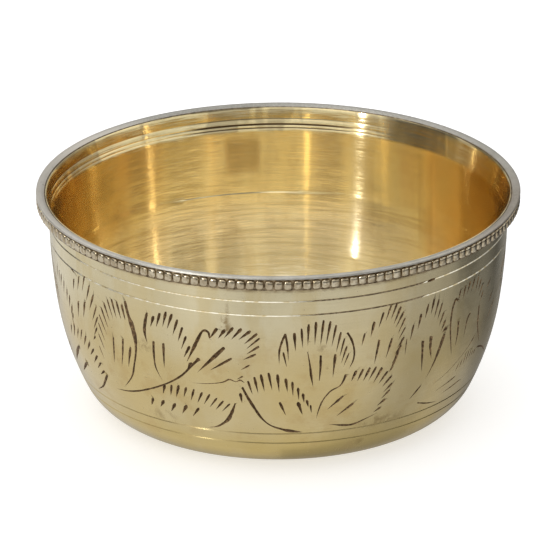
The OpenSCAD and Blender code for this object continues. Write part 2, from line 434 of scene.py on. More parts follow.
def engraved_band():
    """Vertices, faces and cut marks of the outside wall from the neck to the bottom corner."""
    turn = 2 * pi * ENGRAVE_R
    strokes = engraved_strokes()
    for centre, _ in strokes:
        mean = centre[:, 0].mean()
        centre[:, 0] = (mean + turn / 2) % turn - turn / 2 + centre[:, 0] - mean

    # The band is cut open at the first of the least crowded azimuths, counted from the back
    def crowding(u):
        return sum(c[:, 0].min() - SEAM_CLEARANCE < u < c[:, 0].max() + SEAM_CLEARANCE for c, _ in strokes)

    seam = min((turn * (i / COLUMNS) - turn / 2 for i in range(COLUMNS)), key=crowding)
    for centre, _ in strokes:
        if centre[:, 0].mean() < seam:
            centre[:, 0] += turn

    places, edge = line_places(), LINE_W / 2
    rows = [0.0]
    for place in places + [BAND_LENGTH]:
        start, end = rows[-1], place if place == BAND_LENGTH else place - edge
        count = max(1, round((end - start) / ROW_STEP))
        rows += [start + (end - start) * (i + 1) / count for i in range(count)]
        if place != BAND_LENGTH:
            rows += [place, place + edge]
    fixed = {round(r, 6) for p in places for r in (p - edge, p, p + edge)} | {0.0, round(BAND_LENGTH, 6)}

    verts, edges, faces = [], [], []
    outlines = [stroke_sides(c, h) for c, h in strokes]
    taken = np.array(sum(outlines, []) + [tuple(p) for c, _ in strokes for p in c])
    for row in rows:
        first, whole = len(verts), round(row, 6) in fixed
        for i in range(COLUMNS + 1):
            u = seam + turn * i / COLUMNS
            if whole or i in (0, COLUMNS) or np.abs(taken - (u, row)).max(1).min() >= GRID_CLEARANCE:
                verts.append((u, row))
        if whole:
            edges += [(first + i, first + i + 1) for i in range(COLUMNS)]
    sides = [i for i, (u, _) in enumerate(verts) if abs(u - seam) < 1e-9]
    ends = [i for i, (u, _) in enumerate(verts) if abs(u - seam - turn) < 1e-9]
    edges += list(zip(sides, sides[1:])) + list(zip(ends, ends[1:]))
    for outline, (centre, half) in zip(outlines, strokes):
        first = len(verts)
        verts += outline
        faces.append(list(range(first, first + len(outline))))
        middle = [tuple(p) for p, h in zip(centre, half) if h >= THIN]
        first = len(verts)
        verts += middle
        edges += [(first + i, first + i + 1) for i in range(len(middle) - 1)]

    verts = [Vector(v) for v in verts]
    out_verts, _, out_faces, _, _, in_faces = delaunay_2d_cdt(verts, edges, faces, 0, 1e-5)
    flat = np.array([tuple(v) for v in out_verts])
    depth = cut_depths(flat, strokes)
    for place in places:
        depth = np.maximum(depth, LINE_DEPTH * np.clip(1 - np.abs(flat[:, 1] - place) / edge, 0, 1))
    points = []
    for (u, down), d in zip(flat, depth):
        r, z, slope = wall_point(max(0.0, min(BAND_LENGTH, down)))
        points.append(around(r - d * cos(slope), u / ENGRAVE_R, z + d * sin(slope)))
    cut = [bool(owners) for owners in in_faces]
    return points, [tuple(f) for f in out_faces], cut, seam / ENGRAVE_R


# --- Mesh helpers ---

def new_object(name, points, faces, materials=()):
    """A mesh object from points in millimetres."""
    mesh = bpy.data.meshes.new(name)
    mesh.from_pydata([tuple(c * MM for c in p) for p in points], [], faces)
    mesh.validate()
    for material in materials:
        mesh.materials.append(material)
    mesh.shade_smooth()
    obj = bpy.data.objects.new(name, mesh)
    SCENE.collection.objects.link(obj)
    return obj


def ring_faces(upper, lower):
    """Quads between two rings of point numbers, or triangles where one ring is a single point."""
    corners = zip(upper, upper[1:] + upper[:1], lower[1:] + lower[:1], lower)
    return [tuple(dict.fromkeys(face)) for face in corners]


def turned(section, columns, start=0.0, wobble=None):
    """Points and faces of a section of (radius, height) pairs swept round Z."""
    points, rings = [], []
    for r, z in section:
        if r < 1e-6:
            rings.append([len(points)] * columns)
            points.append((0.0, 0.0, z))
            continue
        rings.append([len(points) + i for i in range(columns)])
        for i in range(columns):
            a = start + 2 * pi * i / columns
            dr, dz = wobble(a, r, z) if wobble else (0.0, 0.0)
            points.append(around(r + dr, a, z + dz))
    return points, [face for pair in zip(rings, rings[1:]) for face in ring_faces(*pair)]


def marked_sharp(mesh, angle):
    """Marks the edges of a mesh that bend by more than an angle."""
    normals = {}
    for polygon in mesh.polygons:
        for key in polygon.edge_keys:
            normals.setdefault(key, []).append(polygon.normal)
    limit = cos(angle)
    for edge in mesh.edges:
        sides = normals.get(tuple(sorted(edge.vertices)), [])
        edge.use_edge_sharp = len(sides) == 2 and sides[0].dot(sides[1]) < limit


# --- Materials ---
# Ramps along x, y, z and the radius are in millimetres, and noise scales are per millimetre.

class Graph:
    """Small helper for making nodes in a tree."""

    def __init__(self, tree, place):
        self.tree = tree
        self.x, self.y, self.z = self.node("SeparateXYZ", place).outputs
        self.azimuth = self.math("ARCTAN2", self.x, self.product(self.y, -1))

    def put(self, value, socket):
        """Links a node's output to a socket, or sets the socket to a number or a colour."""
        if isinstance(value, bpy.types.NodeSocket):
            self.tree.links.new(value, socket)
        else:
            socket.default_value = (*value, 1) if socket.type == "RGBA" else value

    def node(self, kind, *values, **settings):
        """A new node with its settings made and its first inputs filled; None leaves an input alone."""
        node = self.tree.nodes.new("ShaderNode" + kind)
        for name, setting in settings.items():
            setattr(node, name, setting)
        for value, socket in zip(values, node.inputs):
            if value is not None:
                self.put(value, socket)
        return node

    def fill(self, node, **values):
        """Fills inputs of a node by name; None leaves an input alone."""
        for name, value in values.items():
            if value is not None:
                self.put(value, node.inputs[name.replace("_", " ")])

    def math(self, operation, a, b=None, clamp=False):
        return self.node("Math", a, b, operation=operation, use_clamp=clamp).outputs[0]

    def vector(self, operation, a, b=None, scale=None):
        node = self.node("VectorMath", a, b, None, scale, operation=operation)
        return node.outputs["Value" if operation == "LENGTH" else "Vector"]

    def combine(self, x, y, z):
        return self.node("CombineXYZ", x, y, z).outputs[0]

    def noise(self, vector, scale, detail=3, roughness=0.5):
        return self.node("TexNoise", vector, None, scale, detail, roughness).outputs["Fac"]

    def remap(self, value, low, high, to_low=0, to_high=1):
        node = self.node("MapRange", value, low, high, to_low, to_high, interpolation_type="SMOOTHSTEP")
        return node.outputs["Result"]

    def mix(self, factor, a, b):
        node = self.node("Mix", factor, data_type="RGBA")
        self.put(a, node.inputs[6])
        self.put(b, node.inputs[7])
        return node.outputs[2]

    def product(self, *factors):
        result = factors[0]
        for factor in factors[1:]:
            result = self.math("MULTIPLY", result, factor)
        return result

    def less(self, a, b, clamp=False):
        return self.math("SUBTRACT", a, b, clamp)

    def most(self, a, b, clamp=False):
        return self.math("MAXIMUM", a, b, clamp)

    def window(self, value, start, full, still, end):
        """Rises from 0 at start to 1 at full, and falls from 1 at still to 0 at end."""
        return self.product(self.remap(value, start, full), self.remap(value, end, still))


class Nodes(Graph):
    """A material, with places on it in millimetres in the row frame."""

    def __init__(self, name):
        self.material = bpy.data.materials.new(name)
        self.material.use_nodes = True
        self.tree = self.material.node_tree
        self.shader = self.tree.nodes["Principled BSDF"]
        position = self.node("NewGeometry").outputs["Position"]
        self.position = self.vector("SCALE", position, scale=1 / MM)
        super().__init__(self.tree, self.position)
        self.radius = self.vector("LENGTH", self.vector("MULTIPLY", self.position, (1, 1, 0)))

    def clouds(self, scale, detail=3, roughness=0.5):
        return self.noise(self.position, scale, detail, roughness)

    def upright_bands(self, fineness, slant, shift):
        """Noise drawn out up the wall."""
        place = self.combine(self.product(self.azimuth, fineness), self.product(self.z, slant), shift)
        return self.noise(place, 1, 3, 0.6)

    def off(self, value, centre):
        """Distance of a value from a centre."""
        return self.math("ABSOLUTE", self.less(value, centre))

    def bump(self, height, distance, strength=1, normal=None):
        node = self.node("Bump")
        self.fill(node, Strength=strength, Distance=distance * MM, Height=height, Normal=normal)
        return node.outputs[0]

    def tilted(self, tilt):
        """The surface normal tipped up by a slope, as turning marks tip it, which keeps streaks upright."""
        normal = self.node("NewGeometry").outputs["Normal"]
        return self.vector("NORMALIZE", self.vector("ADD", normal, self.combine(0, 0, tilt)))

    def turning_marks(self, fineness, length):
        """Place for noise drawn out round the axis: marks per millimetre up, and length in radians."""
        direction = self.combine(self.math("SINE", self.azimuth), self.math("COSINE", self.azimuth), 0)
        up = self.combine(0, 0, self.product(self.less(self.z, self.radius), fineness))
        return self.vector("ADD", self.vector("SCALE", direction, scale=1 / length), up)

    def brushed_upright(self, anisotropy):
        """Stretches highlights up and down the wall, as marks that run round the axis do."""
        tangent = self.node("Tangent", direction_type="RADIAL", axis="Z").outputs[0]
        self.fill(self.shader, Tangent=tangent, Anisotropic=anisotropy, Anisotropic_Rotation=0.25)

    def finish(self, colour, roughness, metallic=1, normal=None):
        self.fill(self.shader, Base_Color=colour, Roughness=roughness, Metallic=metallic, Normal=normal)
        return self.material


def wall_place(azimuth, z):
    """Point on the outside wall in millimetres."""
    r = wall_point(down_to(z))[0] if z < NECK_Z else NECK_R
    return around(r, radians(azimuth), z)


# Brown marks on the outside: (azimuth, height, width round the wall, height of the mark, strength)
STAINS = (
    (-13.2, 44.4, 0.9, 4.6, 0.85),
    (-13, 41.6, 1.3, 1.6, 0.8),
    (-36, 33, 2.4, 1.8, 0.35),
    (29, 12.9, 5.5, 1.6, 0.5),
    (24.6, 7.6, 2.2, 1.4, 0.5),
    (11, 36.2, 1.6, 0.9, 0.35),
    (-33, 13.5, 3.5, 2, 0.4),
)
PALE_BRASS = (0.695, 0.61, 0.40)
GOLD_BRASS = (0.60, 0.47, 0.22)
DEEP_BRASS = (0.55, 0.405, 0.125)
WARM_BRASS = (0.50, 0.35, 0.14)
# The brown below darkens the stains and also gives the painted shade under the beads.
STAIN_AND_SHADE_BROWN = (0.24, 0.155, 0.06)


def make_wall_brass():
    n = Nodes("polished_brass")
    cloud = n.clouds(0.045, 4, 0.6)
    fine_cloud = n.clouds(0.35, 4, 0.65)
    cloudy = n.remap(cloud, 0.35, 0.68, -0.15, 0.25)
    colour = n.mix(n.math("ADD", n.remap(n.z, 47, 26, 0, 0.75), cloudy, True), PALE_BRASS, GOLD_BRASS)
    colour = n.mix(n.remap(n.z, 16, 4, 0, 0.8), colour, DEEP_BRASS)
    bands = n.upright_bands(7, 0.03, 4)
    colour = n.mix(n.remap(bands, 0.5, 0.64, 0, 0.4), colour, GOLD_BRASS)
    warm = n.remap(n.clouds(0.11, 4, 0.65), 0.52, 0.68)
    colour = n.mix(n.product(warm, n.remap(n.z, 44, 30), 0.4), colour, WARM_BRASS)
    stain = None
    for azimuth, z, wide, tall, strength in STAINS:
        offset = n.vector("SUBTRACT", n.position, wall_place(azimuth, z))
        offset = n.vector("MULTIPLY", offset, (1 / wide, 1 / wide, 1 / tall))
        spot = n.remap(n.vector("LENGTH", offset), 1.6, 0.2, 0, strength)
        stain = spot if stain is None else n.most(stain, spot)
    stain = n.product(stain, n.remap(fine_cloud, 0.42, 0.6))
    freckle = n.remap(n.clouds(0.9, 3, 0.7), 0.66, 0.76, 0, 0.45)
    # Painted shade: darker just under the beads, where they overhang the neck, broken up by fine cloud.
    shade_under_beads = n.remap(n.z, NECK_Z - 1, NECK_Z + 0.1, 0, 0.8)
    # The darkening holds the stains and freckles, which are the brass's own, and the painted shade under
    # the beads.
    darkening = n.most(n.most(stain, freckle), n.product(shade_under_beads, n.remap(fine_cloud, 0.3, 0.65)))
    colour = n.mix(darkening, colour, STAIN_AND_SHADE_BROWN)
    marks = n.noise(n.turning_marks(5, 0.5), 1, 4, 0.6)
    roughness = n.math("ADD", n.remap(marks, 0.3, 0.7, 0.20, 0.27), n.product(darkening, 0.3))
    n.brushed_upright(0.8)
    normal = n.bump(marks, 0.004, 0.5, n.bump(n.clouds(0.12, 2), 0.25, 0.6))
    return n.finish(colour, roughness, 1, normal)


DIRT_BROWN = (0.13, 0.085, 0.04)
BAND_BRASS = (0.68, 0.52, 0.26)
MARK_BRASS = (0.66, 0.53, 0.27)
FLARE_TARNISH = (0.30, 0.24, 0.15)
BROWN_OF_TARNISH_AND_SHADE = (0.50, 0.35, 0.15)
ORANGE_OF_TARNISH_AND_REFLECTION = (0.84, 0.54, 0.22)

# Patches on the back of the inside, partly tarnish and partly painted reflection and shade, the deeper
# orange and brown that light bouncing across the inside gives towards its left and right edges: (x, height,
# half width, half height, strength, colour)
TARNISH_AND_PAINTED_LIGHT = (
    (-9, 44, 5.4, 6.5, 0.65, BROWN_OF_TARNISH_AND_SHADE),
    (-49, 42, 12, 18, 0.28, ORANGE_OF_TARNISH_AND_REFLECTION),
    (-44, 43, 3, 5, 0.3, BROWN_OF_TARNISH_AND_SHADE),
    (34, 41, 3.5, 8, 0.3, ORANGE_OF_TARNISH_AND_REFLECTION),
    (22.5, 38, 2.8, 20, 0.25, BROWN_OF_TARNISH_AND_SHADE),
    (45, 36, 9, 22, 0.7, ORANGE_OF_TARNISH_AND_REFLECTION),
    (37.5, 36, 2.2, 18, 0.45, BROWN_OF_TARNISH_AND_SHADE),
    (51.5, 38, 6.5, 25, 0.75, BROWN_OF_TARNISH_AND_SHADE),
)


def make_inner_brass():
    n = Nodes("turned_brass_inside")
    cloud = n.clouds(0.04, 4, 0.6)
    colour = n.mix(n.remap(cloud, 0.35, 0.7), (0.94, 0.81, 0.48), (0.91, 0.76, 0.41))
    coarse = n.noise(n.turning_marks(1.1, 0.5), 1, 3, 0.6)
    fine = n.noise(n.turning_marks(14, 0.12), 1, 3, 0.6)
    lower_pass = n.remap(n.z, STEP_Z + 0.4, STEP_Z - 0.4)
    colour = n.mix(n.remap(n.z, STEP_Z + 3, STEP_Z - 8, 0, 0.75), colour, (0.92, 0.83, 0.64))
    marks = n.product(n.remap(coarse, 0.5, 0.62), n.remap(lower_pass, 0, 1, 0.1, 0.35))
    colour = n.mix(marks, colour, MARK_BRASS)
    bands = n.remap(n.upright_bands(9, 0.05, 0), 0.48, 0.62)
    colour = n.mix(n.product(bands, n.remap(cloud, 0.35, 0.65), 0.32), colour, BAND_BRASS)
    # Tarnish, and painted reflection and shade towards the sides.
    for x, z, wide, tall, strength, tint in TARNISH_AND_PAINTED_LIGHT:
        across = n.remap(n.off(n.x, x), wide, wide * 0.6)
        along = n.remap(n.off(n.z, z), tall, tall * 0.4)
        place = n.product(across, along, n.remap(n.y, 0, 5), strength)
        colour = n.mix(n.product(place, n.remap(cloud, 0.25, 0.55, 0.6, 1)), colour, tint)
    patch = n.noise(n.vector("MULTIPLY", n.position, (1, 1, 0.2)), 0.11, 2, 0.5)
    right_back = n.product(n.window(n.x, 25, 29, 42, 43.5), n.remap(n.y, 0, 20), 1.4)
    patch = n.most(n.remap(patch, 0.52, 0.58, 0, 0.5), n.product(right_back, patch), True)
    on_flare = n.remap(n.z, FLARE_LOW[1] - 0.5, FLARE_LOW[1] + 0.4)
    colour = n.mix(n.product(patch, on_flare), colour, FLARE_TARNISH)

    # Dirt in the turned lines, heaviest across the back
    back = n.product(n.window(n.x, -25, -19, 10, 38), n.remap(n.y, 0, 20))
    line_dirt = None
    for drop, width, depth in INNER_LINES:
        dark = n.remap(n.off(n.z, RIM_Z - drop), width * 0.55, width * 0.4, 0, min(1, depth * 12))
        line_dirt = dark if line_dirt is None else n.most(line_dirt, dark)
    seam = n.product(n.remap(n.radius, SPIGOT_R - 0.3, SPIGOT_R - 0.2), n.remap(n.x, 30, 12), 0.75)
    darkening = n.most(n.product(line_dirt, back), seam)
    colour = n.mix(darkening, colour, DIRT_BROWN)
    roughness = n.math("ADD", n.remap(fine, 0.3, 0.7, 0.13, 0.145), n.product(darkening, 0.3))
    n.brushed_upright(1)
    fine_tilt = n.product(n.less(fine, 0.5), n.remap(lower_pass, 0, 1, 0.75, 0.55))
    tilt = n.math("ADD", fine_tilt, n.product(n.less(coarse, 0.5), 0.12))
    return n.finish(colour, roughness, 1, n.tilted(n.less(tilt, n.product(lower_pass, 0.05))))


def make_cut_patina():
    n = Nodes("dark_patina_in_cuts")
    cloud = n.clouds(1.4, 3, 0.6)
    colour = n.mix(n.remap(cloud, 0.4, 0.75), (0.088, 0.050, 0.022), (0.30, 0.19, 0.085))
    return n.finish(colour, n.remap(cloud, 0.3, 0.7, 0.65, 0.45), 0.6)


# Pale brass for the upward faces of the upper turned lines: a painted highlight.
def make_lit_flank():
    n = Nodes("painted_highlight_on_lines")
    cloud = n.clouds(0.6, 3, 0.6)
    colour = n.mix(n.remap(cloud, 0.4, 0.65), (0.95, 0.90, 0.74), (0.70, 0.58, 0.34))
    return n.finish(colour, 0.22)


# Dark brown for the lip's recesses, the strip behind the beads, the recess under the land and some line
# faces: residue that the brass holds in its hollows, and painted shade, which also takes the place of the
# bright reflection in the cove under the beads.
def make_residue_and_shade():
    n = Nodes("residue_and_painted_shade")
    cloud = n.clouds(1.1, 4, 0.65)
    colour = n.mix(n.remap(cloud, 0.35, 0.7), (0.13, 0.09, 0.05), (0.42, 0.33, 0.21))
    return n.finish(colour, n.remap(cloud, 0.3, 0.7, 0.7, 0.45), 0.7)


def make_bead_brass():
    n = Nodes("beaded_brass")
    # Dark brown in the gaps between the beads and round their edges, where they sink back: dirt in the
    # gaps, and painted shade.
    out = n.remap(n.radius, RIM_R - 1.3, RIM_R - 0.9)
    cloud = n.clouds(0.8, 3, 0.6)
    worn = n.mix(n.remap(cloud, 0.35, 0.7), (0.66, 0.58, 0.43), (0.40, 0.32, 0.20))
    worn = n.mix(n.remap(n.clouds(0.07, 1), 0.42, 0.6, 0, 0.6), worn, (0.42, 0.34, 0.23))
    colour = n.mix(out, (0.10, 0.07, 0.04), worn)
    roughness = n.remap(out, 0, 1, 0.55, 0.15)
    return n.finish(colour, roughness, 1, n.bump(n.clouds(2.5), 0.03, 0.5))


def make_land_brass():
    n = Nodes("filed_brass")
    cloud = n.clouds(0.2, 4, 0.6)
    colour = n.mix(n.remap(cloud, 0.3, 0.7), (0.56, 0.535, 0.475), (0.42, 0.395, 0.33))
    right_front = n.product(n.remap(n.x, 35, 55), n.remap(n.y, 20, -10), 0.6)
    colour = n.mix(right_front, colour, (0.40, 0.33, 0.24))
    # Darker towards the back is painted shade, and paler towards the left, the side of the key lamp, is
    # painted light.
    colour = n.mix(n.remap(n.y, 10, 50, 0, 0.7), colour, (0.30, 0.29, 0.26))
    colour = n.mix(n.remap(n.x, -30, -52, 0, 0.7), colour, (0.80, 0.74, 0.65))
    grain = n.clouds(3, 4, 0.7)
    freckle = n.remap(n.clouds(0.7, 3, 0.7), 0.6, 0.75, 0, 0.5)
    colour = n.mix(freckle, colour, (0.25, 0.21, 0.15))
    colour = n.mix(n.remap(grain, 0.42, 0.62, 0, 0.35), colour, (0.74, 0.72, 0.66))
    n.brushed_upright(0.7)
    return n.finish(colour, n.remap(grain, 0.3, 0.7, 0.36, 0.5), 1, n.bump(grain, 0.05, 0.6))


# --- Pieces ---

COLLAR_R = RIM_R - 1.2
SPIGOT_R = RIM_R - 2.1
SEAM_Z = RIM_Z - 0.6  # the dark seam between spigot and land goes down from here
LEDGE_R = COLLAR_R + 0.5
FLARE_TOP = (SPIGOT_R - 0.5, RIM_Z - 0.55)
FLARE_LOW = (inner_radius(RIM_Z - FLARE_DROP) + WALL_T - FLARE_T, RIM_Z - FLARE_DROP)
STEP_Z = RIM_Z - PASS_DROP
STEP_DEPTH, STEP_HALF = 0.13, 0.13
INNER_ROW_STEP = 1.1


def between(low, high, z):
    """Radius at height z on the straight line between two (radius, height) pairs."""
    return low[0] + (high[0] - low[0]) * (z - low[1]) / (high[1] - low[1])


def flare_radius(z):
    return between(FLARE_LOW, FLARE_TOP, z)


def upper_pass_radius(z):
    """Radius of the inside wall between the flare and the step, where the lathe cut a little deeper."""
    step = (inner_radius(STEP_Z) + STEP_DEPTH, STEP_Z)
    return max(inner_radius(z), between(step, FLARE_LOW, z))


def lip_section():
    """From the neck up round the ledge, collar, seat and spigot to the top of the inside wall."""
    cove_z = NECK_Z + 0.15
    cove = [(NECK_R + (LEDGE_R - NECK_R) * (1 - cos(t)), cove_z + (LEDGE_Z - 0.4 - NECK_Z) * sin(t))
            for t in (pi / 2 * i / 6 for i in range(1, 7))]
    return [(NECK_R, NECK_Z), (NECK_R, cove_z)] + cove + [
        (LEDGE_R, LEDGE_Z - 0.1), (LEDGE_R - 0.1, LEDGE_Z), (COLLAR_R, LEDGE_Z), (COLLAR_R, SEAT_Z),
        (SPIGOT_R, SEAT_Z), (SPIGOT_R, RIM_Z - 0.82), (SPIGOT_R - 0.14, RIM_Z - 0.8),
        (SPIGOT_R - 0.22, SEAM_Z), (SPIGOT_R - 0.42, RIM_Z - 0.55),
    ] + [(flare_radius(RIM_Z - drop), RIM_Z - drop) for drop in (0.7, 1.2)]


def inner_section():
    """The inside wall from the flare down to the floor and in to the middle."""
    rows = []
    for drop, width, depth in INNER_LINES:
        for z, cut in ((RIM_Z - drop + width / 2, 0), (RIM_Z - drop, depth), (RIM_Z - drop - width / 2, 0)):
            rows.append((flare_radius(z) + cut, z))
    rows.append(FLARE_LOW)
    z = FLARE_LOW[1] - 0.9
    while z > STEP_Z + 0.9:
        rows.append((upper_pass_radius(z), z))
        z -= INNER_ROW_STEP
    rows += [(upper_pass_radius(STEP_Z + STEP_HALF), STEP_Z + STEP_HALF),
             (inner_radius(STEP_Z - STEP_HALF), STEP_Z - STEP_HALF)]
    z = STEP_Z - 1.2
    while z > LOWER_END_Z + 1:
        rows.append((inner_radius(z), z))
        z -= INNER_ROW_STEP
    corner = CORNER_R - WALL_T
    start, end = LOWER_BOW[1], asin((CORNER_R - FLOOR_T) / corner)
    for i in range(9):
        slope = start + (end - start) * i / 8
        rows.append((BASE_R + corner * cos(slope), CORNER_R - corner * sin(slope)))
    floor_r = rows[-1][0]
    return rows + [(floor_r * (1 - i / 22), FLOOR_T) for i in range(1, 22)] + [(0.0, FLOOR_T)]


def base_section():
    """The bottom corner from the end of the wall band and the flat base with its turned lines."""
    rows = [wall_point(BAND_LENGTH + CORNER_LENGTH * i / 14)[:2] for i in range(15)]
    half = LINE_W / 2
    for r in BASE_LINE_RADII:
        rows += [(r + half, 0.0), (r, LINE_DEPTH), (r - half, 0.0)]
    return rows + [(6.0, 0.0), (CENTRE_MARK_R, 0.0), (0.0, CENTRE_MARK_DEPTH)]


def inside_waviness(a, r, z):
    """Slight unevenness that turning and hammering leave on the inside wall."""
    x = r * sin(a)
    if z > FLARE_LOW[1] - 0.1 or r < 30:
        worn = min(0.8, max(0.0, (x - 20) / 14))
        return -worn * (r - flare_radius(z)) if z > FLARE_LOW[1] + 0.1 else 0.0, 0.0
    broad = noise.noise(Vector((1.4 * sin(a), 1.4 * cos(a), z / 16)))
    rings = noise.noise(Vector((0.5 * sin(a), 0.5 * cos(a), z / 2.6 + 9)))
    worn_step = 0.0
    if 0 < z - STEP_Z < 0.2:
        worn_step = 0.1 * min(1.0, max(0.0, (x - 4) / 12, (-25 - x) / 5))
    return 0.05 * broad + 0.008 * rings - worn_step, 0.0


WALL, INSIDE, CUT, RESIDUE_AND_SHADE, LIT_FLANK = range(5)


def make_shell():
    """The shell: the engraved band, the lip, the inside and the base, welded into one closed mesh."""
    band_points, band_faces, cut, seam = engraved_band()
    lip = turned(lip_section(), COLUMNS, seam)
    inner = turned([lip_section()[-1]] + inner_section(), COLUMNS, seam, inside_waviness)
    base = turned(base_section(), COLUMNS, seam)

    points, faces, slots = list(band_points), list(band_faces), [CUT if c else WALL for c in cut]
    for (part, part_faces), slot in ((lip, None), (inner, INSIDE), (base, WALL)):
        shift = len(points)
        points += part
        for face in part_faces:
            faces.append(tuple(i + shift for i in face))
            if slot is not None:
                slots.append(slot)
                continue
            middle = sum((Vector(part[i]) for i in face), Vector()) / len(face)
            in_mouth = hypot(middle.x, middle.y) < SPIGOT_R - 0.2 and middle.z > LEDGE_Z + 0.5
            # Lip faces outside the mouth get the recess material: residue and painted shade round the cove,
            # ledge and collar.
            slots.append(INSIDE if in_mouth else RESIDUE_AND_SHADE)

    materials = [make_wall_brass(), make_inner_brass(), make_cut_patina(), make_residue_and_shade(), make_lit_flank()]
    shell = new_object("engraved_shell", points, faces, materials)
    mesh = shell.data
    mesh.polygons.foreach_set("material_index", slots)
    weld(mesh)
    set_wall_normals(mesh)
    return shell


def weld(mesh):
    """Joins the meeting rows of a mesh's parts and turns every face outwards."""
    bm = bmesh.new()
    bm.from_mesh(mesh)
    bmesh.ops.remove_doubles(bm, verts=bm.verts, dist=0.0015 * MM)
    bmesh.ops.dissolve_degenerate(bm, edges=bm.edges, dist=1e-7)
    bmesh.ops.recalc_face_normals(bm, faces=bm.faces)
    bm.to_mesh(mesh)
    bm.free()


LIT_LINE_SLOPE = 0.2  # a line's face that looks up more than this gets a painted highlight, the pale material, except in the azimuths below, where it gets painted shade
# Azimuths where the upward faces of the upper lines get painted shade, the dark recess material, in place
# of the painted highlight.
SHADED_LINE_AZIMUTHS = (radians(8), radians(38))
WALL_FOOT_Z = 0.3


def set_wall_normals(mesh):
    """Gives the wall between the cuts the exact normals of the turned surface, so it mirrors cleanly."""
    marked_sharp(mesh, radians(24))
    lines = [RIM_Z - d for d in OUTER_DROPS] + list(OUTER_RISES)
    normals = [(0.0, 0.0, 0.0)] * len(mesh.loops)
    for polygon in mesh.polygons:
        if polygon.material_index == CUT:
            polygon.use_smooth = False
            continue
        z_mid = polygon.center.z / MM
        if polygon.material_index != WALL or not WALL_FOOT_Z <= z_mid <= NECK_Z:
            continue
        in_line = any(abs(z_mid - z) < LINE_W / 2 for z in lines)
        for loop in polygon.loop_indices:
            co = mesh.vertices[mesh.loops[loop].vertex_index].co
            a = atan2(co.x, -co.y)
            if in_line:
                out, up = hypot(polygon.normal.x, polygon.normal.y), polygon.normal.z
                # Upward faces of the upper lines get a painted highlight, and in the shaded azimuths
                # painted shade.
                if up > LIT_LINE_SLOPE and z_mid > UPPER_END_Z:
                    polygon.material_index = RESIDUE_AND_SHADE if SHADED_LINE_AZIMUTHS[0] < a < SHADED_LINE_AZIMUTHS[1] else LIT_FLANK
            else:
                slope = wall_slope(min(NECK_Z, max(0.0, co.z / MM)))
                out, up = cos(slope), -sin(slope)
            normals[loop] = around(out, a, up)
    mesh.normals_split_custom_set(normals)


BEADS = 164
BEAD_WIDE, BEAD_TALL, BEAD_DEEP = 1.1, 1.2, 0.98  # half sizes
BEAD_AROUND, BEAD_UP = 14, 9
BEAD_SQUARENESS = 0.58
BEAD_MIDDLE_Z = RIM_Z - 2.1


def power(value, exponent):
    """Power of a number that keeps its sign."""
    return copysign(abs(value) ** exponent, value)


def recess_residue_and_shade():
    """The dark material of the shell's recesses, which the beads and the land share: residue in the
    hollows, and painted shade.
    """
    return bpy.data.materials["residue_and_painted_shade"]


def make_beads():
    """The beaded wire: a strip with pillow-shaped beads pressed side by side, each a little different."""
    rng = random.Random(3)
    low, high = LEDGE_Z, SEAT_Z
    strip_r = COLLAR_R + 0.45
    strip = [(COLLAR_R, high), (COLLAR_R + 0.35, high), (strip_r, high - 0.2), (strip_r, low + 0.2),
             (COLLAR_R + 0.35, low), (COLLAR_R, low), (COLLAR_R, high)]
    points, faces = turned(strip, COLUMNS)
    # The strip behind the beads gets the recess material: residue and painted shade in the gaps.
    slots = [1] * len(faces)
    for bead in range(BEADS):
        azimuth = 2 * pi * (bead + rng.uniform(-0.025, 0.025)) / BEADS
        wide = BEAD_WIDE * rng.uniform(0.95, 1.04)
        tall = BEAD_TALL * rng.uniform(0.95, 1.02)
        lean = rng.uniform(-0.06, 0.06)
        z_mid = BEAD_MIDDLE_Z + rng.uniform(-0.04, 0.04)
        first = len(points)
        for row in range(BEAD_UP + 1):
            up = -pi / 2 + pi * row / BEAD_UP
            for i in range(BEAD_AROUND):
                turn = 2 * pi * i / BEAD_AROUND
                flat = power(cos(up), BEAD_SQUARENESS)
                out = BEAD_DEEP * flat * power(cos(turn), BEAD_SQUARENESS)
                side = wide * flat * power(sin(turn), BEAD_SQUARENESS)
                rise = tall * power(sin(up), BEAD_SQUARENESS)
                side += lean * rise
                r = min(RIM_R - 0.01, RIM_R - BEAD_DEEP + out - 0.02)
                a = azimuth + side / RIM_R
                points.append(around(r, a, z_mid + rise))
        rings = [[first + row * BEAD_AROUND + i for i in range(BEAD_AROUND)] for row in range(BEAD_UP + 1)]
        faces += [face for pair in zip(rings, rings[1:]) for face in ring_faces(*pair)]
    slots += [0] * (len(faces) - len(slots))
    beads = new_object("bead_row", points, faces, (make_bead_brass(), recess_residue_and_shade()))
    beads.data.polygons.foreach_set("material_index", slots)
    weld(beads.data)
    marked_sharp(beads.data, radians(50))
    return beads


LAND_ROUND = 0.45


